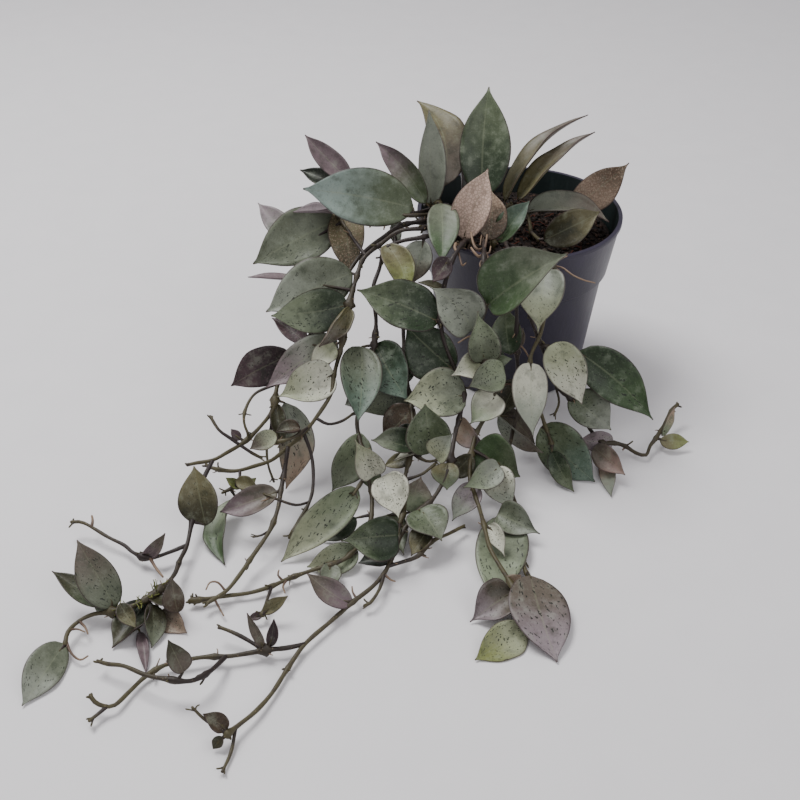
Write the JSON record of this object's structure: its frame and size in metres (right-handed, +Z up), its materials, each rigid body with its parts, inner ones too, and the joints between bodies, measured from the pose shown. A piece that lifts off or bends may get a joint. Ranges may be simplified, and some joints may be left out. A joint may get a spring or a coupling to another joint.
{
  "type": "potted hoya lacunosa",
  "caption": "Round plastic nursery pot with soil and a hoya whose leafy vines trail over the rim and out over the surface.",
  "frame": {"origin": "centre of the pot's base, on the surface that it stands on", "axes": "+Z up, -Y towards the front that the vines hang over, +X to the right seen from the front"},
  "size_m": [0.3187, 0.3521, 0.1626],
  "materials": {
    "pot": "satin slate plastic",
    "soil": "rough dark bark and peat",
    "crown_back_shoot": "satin leathery leaves on brown stems",
    "crown_left_shoot": "satin leathery leaves on brown stems",
    "crown_front_shoot": "satin leathery leaves on brown stems",
    "crown_right_shoot": "satin leathery leaves on brown stems",
    "crown_far_shoot": "satin leathery leaves on brown stems",
    "left_high_vine": "satin leathery leaves on brown stems",
    "left_long_vine": "satin leathery leaves on brown stems",
    "left_floor_vine": "satin leathery leaves on brown stems",
    "left_inner_vine": "satin leathery leaves on brown stems",
    "middle_left_vine": "satin leathery leaves on brown stems",
    "front_long_vine": "satin leathery leaves on brown stems",
    "front_middle_vine": "satin leathery leaves on brown stems",
    "front_right_vine": "satin leathery leaves on brown stems",
    "right_vine": "satin leathery leaves on brown stems",
    "right_low_vine": "satin leathery leaves on brown stems"
  },
  "bodies": {
    "root": {"pot": "pot", "soil": "soil", "crown_back_shoot": "crown_back_shoot", "crown_left_shoot": "crown_left_shoot", "crown_front_shoot": "crown_front_shoot", "crown_right_shoot": "crown_right_shoot", "crown_far_shoot": "crown_far_shoot", "left_high_vine": "left_high_vine", "left_long_vine": "left_long_vine", "left_floor_vine": "left_floor_vine", "left_inner_vine": "left_inner_vine", "middle_left_vine": "middle_left_vine", "front_long_vine": "front_long_vine", "front_middle_vine": "front_middle_vine", "front_right_vine": "front_right_vine", "right_vine": "right_vine", "right_low_vine": "right_low_vine"}
  },
  "joints": []
}
